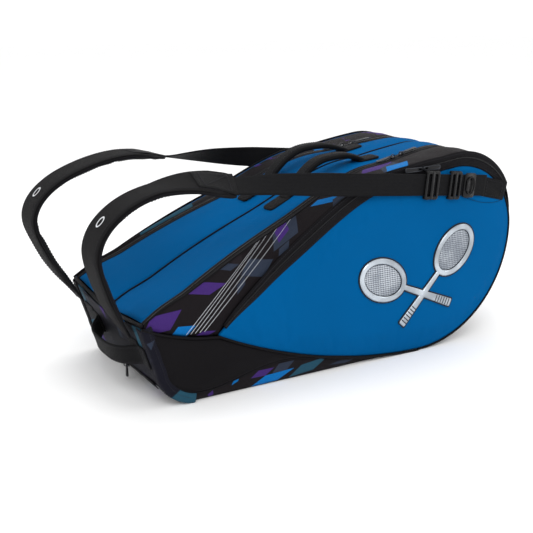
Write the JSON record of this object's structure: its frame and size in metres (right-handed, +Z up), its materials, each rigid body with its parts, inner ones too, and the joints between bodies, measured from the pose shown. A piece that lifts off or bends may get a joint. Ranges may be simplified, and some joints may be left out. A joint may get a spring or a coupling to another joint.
{
  "type": "racket tournament bag",
  "caption": "Long wedge-shaped racket bag with zipped compartments, backpack straps, top carry handles and an end grab handle.",
  "frame": {"origin": "on the floor under the middle of the body, on the base panel's underside", "axes": "+X along the bag to the rounded nose end, -Y to the front panel's side, +Z up"},
  "size_m": [0.8299, 0.3516, 0.3621],
  "materials": {
    "panel_blue": "coated woven polyester",
    "camo_print": "printed woven polyester",
    "body_black": "heavy woven polyester",
    "lining": "padded lining",
    "board": "matt",
    "piping_black": "woven over a cord",
    "zip_tape": "woven tape with coil teeth",
    "slider_metal": "satin black",
    "pull_metal": "satin black",
    "emblem_silver": "moulded, brushed silver",
    "webbing_black": "ribbed webbing",
    "pad_black": "woven over foam",
    "buckle_plastic": "moulded"
  },
  "bodies": {
    "main_body": {"base_panel": "body_black", "base_board": "board", "end_panel": "camo_print", "center_gusset_front": "panel_blue", "center_gusset_back": "panel_blue", "center_seam_piping": "piping_black", "center_divider": "lining", "zip2_inner_tape": "zip_tape", "zip3_inner_tape": "zip_tape", "end_zip_tape": "zip_tape", "strap_anchors": "webbing_black", "carry_handle_patches": "webbing_black"},
    "front_compartment": {"front_gusset": "camo_print", "front_lower_panel": "body_black", "front_divider": "lining", "zip2_outer_tape": "zip_tape", "zip1_upper_tape": "zip_tape", "front_piping": "piping_black"},
    "front_panel": {"front_panel": "panel_blue", "zip1_lower_tape": "zip_tape", "emblem": "emblem_silver", "front_strap_tab": "webbing_black"},
    "back_compartment": {"back_gusset": "camo_print", "back_panel": "panel_blue", "back_piping": "piping_black", "zip3_outer_tape": "zip_tape", "back_strap_tab": "webbing_black"},
    "front_carry_handle": {"front_carry_handle": "webbing_black"},
    "back_carry_handle": {"back_carry_handle": "webbing_black"},
    "grab_handle": {"grab_handle": "webbing_black"},
    "near_strap": {"near_strap_pad": "pad_black", "near_strap_webbing": "webbing_black", "near_strap_plate": "buckle_plastic", "near_strap_keeper": "buckle_plastic"},
    "far_strap": {"far_strap_pad": "pad_black", "far_strap_webbing": "webbing_black", "far_strap_plate": "buckle_plastic", "far_strap_keeper": "buckle_plastic"},
    "end_zip_slider": {"end_zip_slider": "slider_metal"},
    "end_zip_pull": {"end_zip_pull": "pull_metal"},
    "near_adjuster": {"near_strap_adjuster": "buckle_plastic"},
    "near_ring": {"near_strap_ring": "buckle_plastic"},
    "far_adjuster": {"far_strap_adjuster": "buckle_plastic"},
    "far_ring": {"far_strap_ring": "buckle_plastic"},
    "zip1_low_slider": {"zip1_low_slider": "slider_metal"},
    "zip1_low_pull": {"zip1_low_pull": "pull_metal"},
    "zip1_high_slider": {"zip1_high_slider": "slider_metal"},
    "zip1_high_pull": {"zip1_high_pull": "pull_metal"},
    "zip2_low_slider": {"zip2_low_slider": "slider_metal"},
    "zip2_low_pull": {"zip2_low_pull": "pull_metal"},
    "zip2_high_slider": {"zip2_high_slider": "slider_metal"},
    "zip2_high_pull": {"zip2_high_pull": "pull_metal"},
    "zip3_low_slider": {"zip3_low_slider": "slider_metal"},
    "zip3_low_pull": {"zip3_low_pull": "pull_metal"},
    "zip3_high_slider": {"zip3_high_slider": "slider_metal"},
    "zip3_high_pull": {"zip3_high_pull": "pull_metal"}
  },
  "joints": [
    {"name": "front_compartment_opening", "type": "hinge", "parent": "main_body", "child": "front_compartment", "pos_m": [0, -0.15, 0.008], "axis": [1, 0, 0], "range_deg": [0, 10]},
    {"name": "front_panel_opening", "type": "hinge", "parent": "front_compartment", "child": "front_panel", "pos_m": [-0.24, -0.153, 0.103], "axis": [0.9703, 0, -0.242], "range_deg": [0, 12]},
    {"name": "back_compartment_opening", "type": "hinge", "parent": "main_body", "child": "back_compartment", "pos_m": [0, 0.15, 0.008], "axis": [-1, 0, 0], "range_deg": [0, 10]},
    {"name": "zip2_low_slider_travel", "type": "hinge", "parent": "main_body", "child": "zip2_low_slider", "pos_m": [0.40712, -0.04531, -1.10807], "axis": [0.1348, -0.9909, 0], "range_deg": [0, 20.05]},
    {"name": "zip2_high_slider_travel", "type": "hinge", "parent": "main_body", "child": "zip2_high_slider", "pos_m": [0.40712, -0.04531, -1.10807], "axis": [-0.1348, 0.9909, 0], "range_deg": [0, 2.22]},
    {"name": "zip3_low_slider_travel", "type": "hinge", "parent": "main_body", "child": "zip3_low_slider", "pos_m": [0.40712, 0.04531, -1.10807], "axis": [-0.1348, -0.9909, 0], "range_deg": [0, 20.05]},
    {"name": "zip3_high_slider_travel", "type": "hinge", "parent": "main_body", "child": "zip3_high_slider", "pos_m": [0.40712, 0.04531, -1.10807], "axis": [0.1348, 0.9909, 0], "range_deg": [0, 2.22]},
    {"name": "zip1_low_slider_travel", "type": "hinge", "parent": "front_panel", "child": "zip1_low_slider", "pos_m": [0.27503, -0.155, -0.31968], "axis": [0, -1, 0], "range_deg": [0, 37.04]},
    {"name": "zip1_high_slider_travel", "type": "hinge", "parent": "front_panel", "child": "zip1_high_slider", "pos_m": [0.27503, -0.155, -0.31968], "axis": [0, 1, 0], "range_deg": [0, 5.27]},
    {"name": "zip1_low_pull_swing", "type": "hinge", "parent": "zip1_low_slider", "child": "zip1_low_pull", "pos_m": [0.15384, -0.1602, 0.33437], "axis": [0, 0, 1], "range_deg": [0, 110]},
    {"name": "zip1_high_pull_swing", "type": "hinge", "parent": "zip1_high_slider", "child": "zip1_high_pull", "pos_m": [0.17806, -0.1602, 0.33793], "axis": [0, 0, -1], "range_deg": [0, 110]},
    {"name": "zip2_low_pull_swing", "type": "hinge", "parent": "zip2_low_slider", "child": "zip2_low_pull", "pos_m": [0.14952, -0.08022, 0.34642], "axis": [-0.1306, 0.9912, -0.0234], "range_deg": [0, 110]},
    {"name": "zip2_high_pull_swing", "type": "hinge", "parent": "zip2_high_slider", "child": "zip2_high_pull", "pos_m": [0.17272, -0.07708, 0.35041], "axis": [0.1312, -0.9911, 0.0216], "range_deg": [0, 110]},
    {"name": "zip3_low_pull_swing", "type": "hinge", "parent": "zip3_low_slider", "child": "zip3_low_pull", "pos_m": [0.14952, 0.08022, 0.34642], "axis": [0.1306, 0.9912, 0.0234], "range_deg": [0, 110]},
    {"name": "zip3_high_pull_swing", "type": "hinge", "parent": "zip3_high_slider", "child": "zip3_high_pull", "pos_m": [0.17272, 0.07708, 0.35041], "axis": [-0.1312, -0.9911, -0.0216], "range_deg": [0, 110]},
    {"name": "end_zip_slider_travel", "type": "slide", "parent": "main_body", "child": "end_zip_slider", "axis": [0, 1, 0], "range_m": [-0.105, 0.118]},
    {"name": "end_zip_pull_swing", "type": "hinge", "parent": "end_zip_slider", "child": "end_zip_pull", "pos_m": [-0.33937, -0.008, 0.02454], "axis": [0, 1, 0], "range_deg": [-15, 80]},
    {"name": "front_carry_handle_swing", "type": "hinge", "parent": "main_body", "child": "front_carry_handle", "pos_m": [-0.056, -0.046, 0.29728], "axis": [0.9607, 0, 0.2777], "range_deg": [-20, 20]},
    {"name": "back_carry_handle_swing", "type": "hinge", "parent": "main_body", "child": "back_carry_handle", "pos_m": [-0.057, 0.046, 0.29692], "axis": [0.9635, 0, 0.2678], "range_deg": [-20, 20]},
    {"name": "grab_handle_lift", "type": "hinge", "parent": "main_body", "child": "grab_handle", "pos_m": [-0.36049, -0.134, 0.0996], "axis": [0, 1, 0], "range_deg": [0, 20]},
    {"name": "near_strap_swing", "type": "hinge", "parent": "front_panel", "child": "near_strap", "pos_m": [0.3, -0.166, 0.2735], "axis": [0.9689, -0.0976, 0.2275], "range_deg": [0, 50]},
    {"name": "near_adjuster_travel", "type": "slide", "parent": "near_strap", "child": "near_adjuster", "axis": [0.9949, 0, -0.1007], "range_m": [-0.12, 0.008]},
    {"name": "near_ring_swing", "type": "hinge", "parent": "near_strap", "child": "near_ring", "pos_m": [0.26362, -0.17185, 0.2968], "axis": [0.1011, 0, 0.9949], "range_deg": [0, 100]},
    {"name": "far_strap_swing", "type": "hinge", "parent": "back_compartment", "child": "far_strap", "pos_m": [0.3, 0.166, 0.2735], "axis": [-0.9689, -0.0976, -0.2275], "range_deg": [0, 50]},
    {"name": "far_adjuster_travel", "type": "slide", "parent": "far_strap", "child": "far_adjuster", "axis": [0.9949, 0, -0.1007], "range_m": [-0.12, 0.008]},
    {"name": "far_ring_swing", "type": "hinge", "parent": "far_strap", "child": "far_ring", "pos_m": [0.26211, 0.17185, 0.29696], "axis": [-0.1011, 0, -0.9949], "range_deg": [0, 100]}
  ]
}
